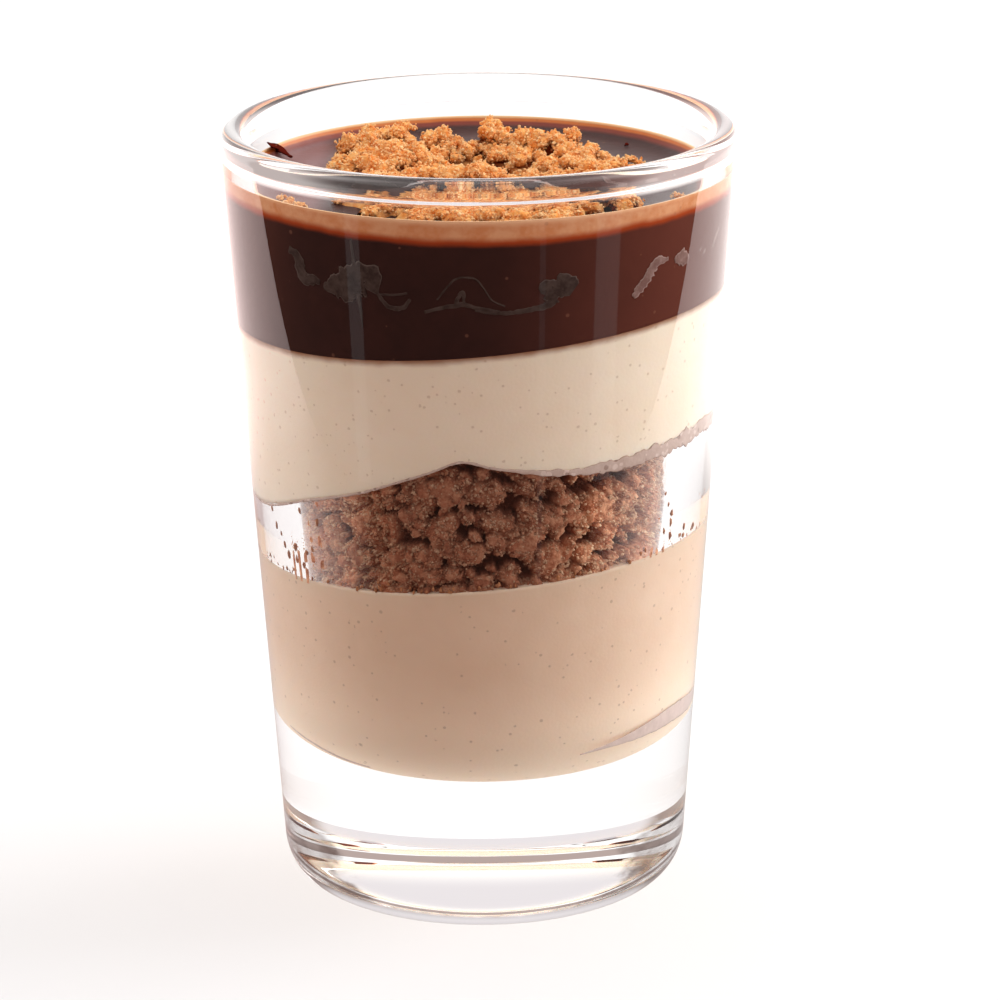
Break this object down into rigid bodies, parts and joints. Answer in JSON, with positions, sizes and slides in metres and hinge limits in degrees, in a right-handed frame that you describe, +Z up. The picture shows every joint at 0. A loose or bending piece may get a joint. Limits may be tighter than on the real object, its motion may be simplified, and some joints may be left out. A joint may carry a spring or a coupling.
{
  "type": "layered dessert verrine in a glass",
  "caption": "Small heavy-based glass filled with coffee cream, cake crumbs, ivory cream and dark chocolate, topped with a heap of golden cake crumbs.",
  "frame": {"origin": "centre of the flat base, on the surface that the glass stands on", "axes": "+Z up the glass's axis, +X to the right and -Y to the front of the shown view"},
  "size_m": [0.056, 0.056, 0.0854],
  "materials": {
    "glass": "clear pressed glass with a fire-polished rim",
    "coffee_cream": "smooth set cream, satin, with fine specks",
    "crumb_layer": "moist brown cake crumbs, rough",
    "ivory_cream": "smooth whipped cream, satin, with fine pores",
    "chocolate": "dark chocolate cream with a glossy top",
    "crumb_topping": "dry golden cake crumbs, rough"
  },
  "bodies": {
    "root": {"glass": "glass", "coffee_cream": "coffee_cream", "crumb_layer": "crumb_layer", "ivory_cream": "ivory_cream", "chocolate": "chocolate", "crumb_topping": "crumb_topping"}
  },
  "joints": []
}
